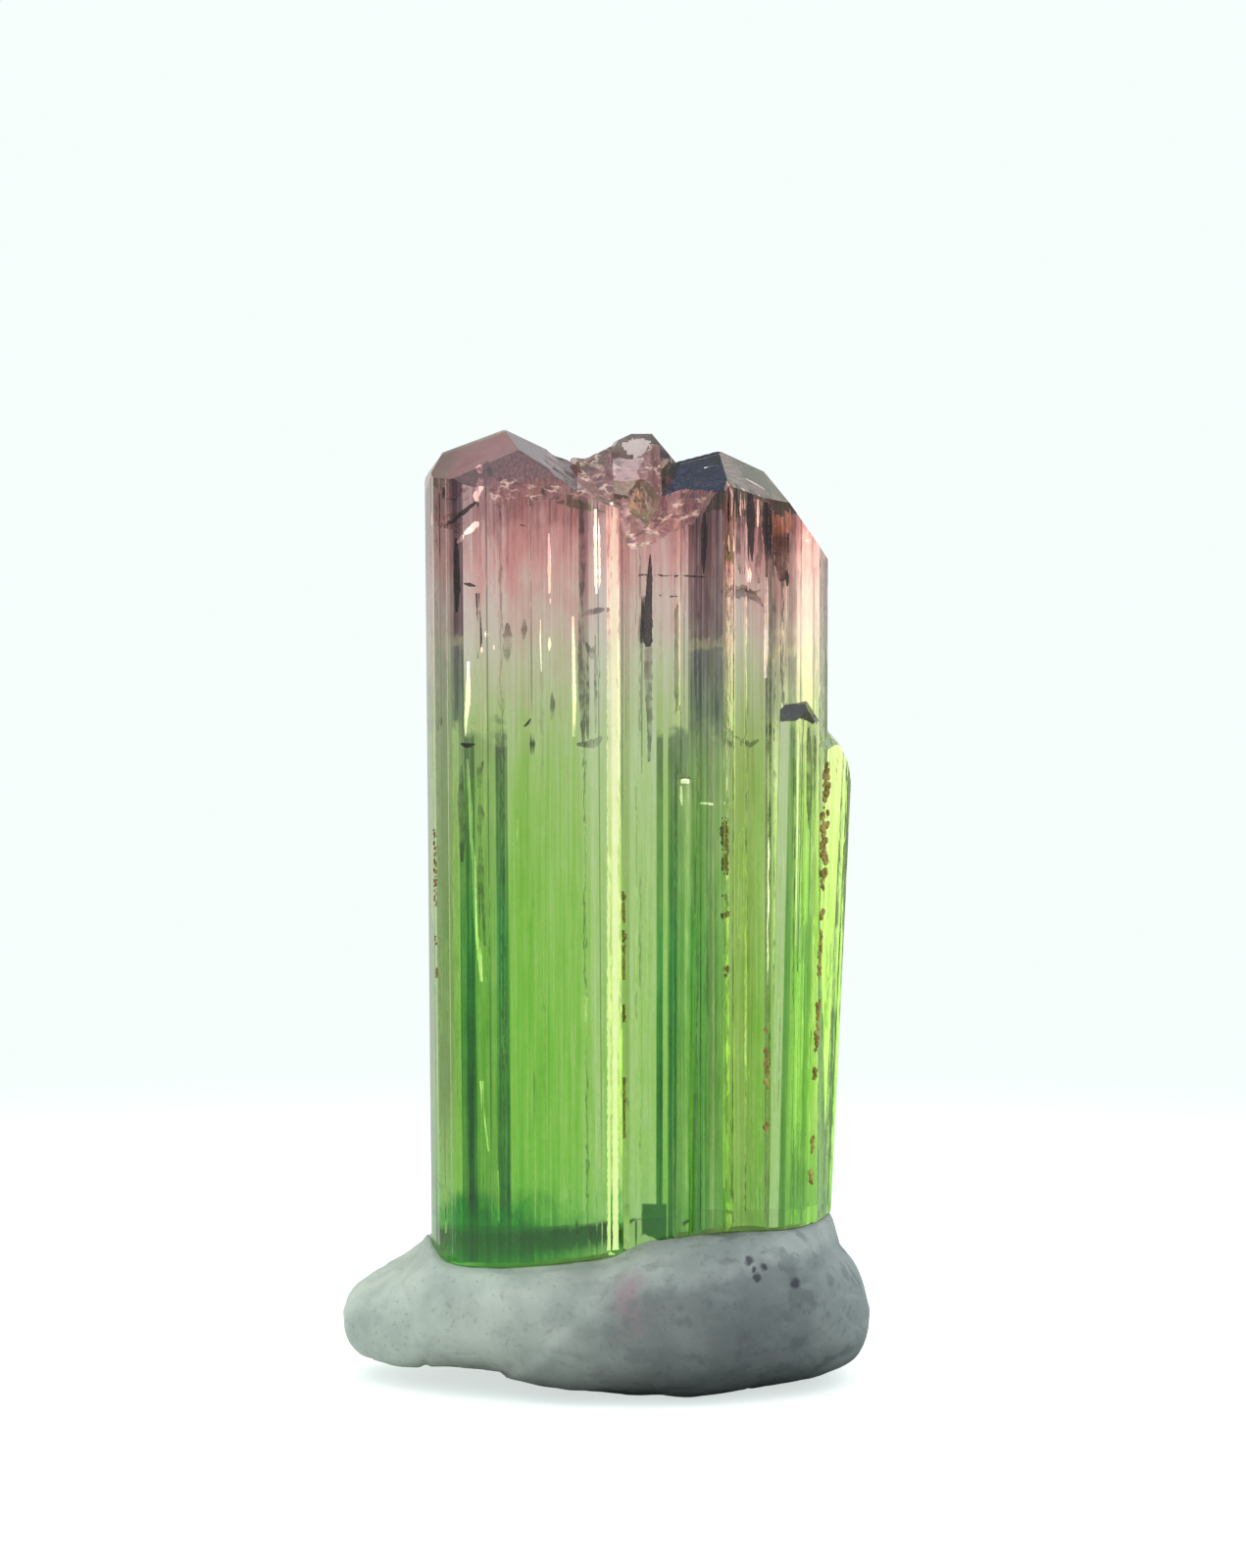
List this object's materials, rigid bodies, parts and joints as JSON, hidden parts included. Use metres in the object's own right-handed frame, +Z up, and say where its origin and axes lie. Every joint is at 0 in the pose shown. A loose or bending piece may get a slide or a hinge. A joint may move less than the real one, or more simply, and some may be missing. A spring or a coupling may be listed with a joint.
{
  "type": "crystal specimen",
  "caption": "Upright cluster of intergrown striated tourmaline prisms, pink at the tips and green at the foot, standing in a kneaded lump of mounting putty.",
  "frame": {"origin": "middle of the footprint, on the plane of the flat underside of the putty", "axes": "+Z up along the crystal, -Y towards the front of the cluster, +X to the right seen from the front"},
  "size_m": [0.0166, 0.0116, 0.0299],
  "materials": {
    "tourmaline": "gloss",
    "putty": "matte"
  },
  "bodies": {
    "root": {"tourmaline_crystal": "tourmaline", "mounting_putty": "putty"}
  },
  "joints": []
}
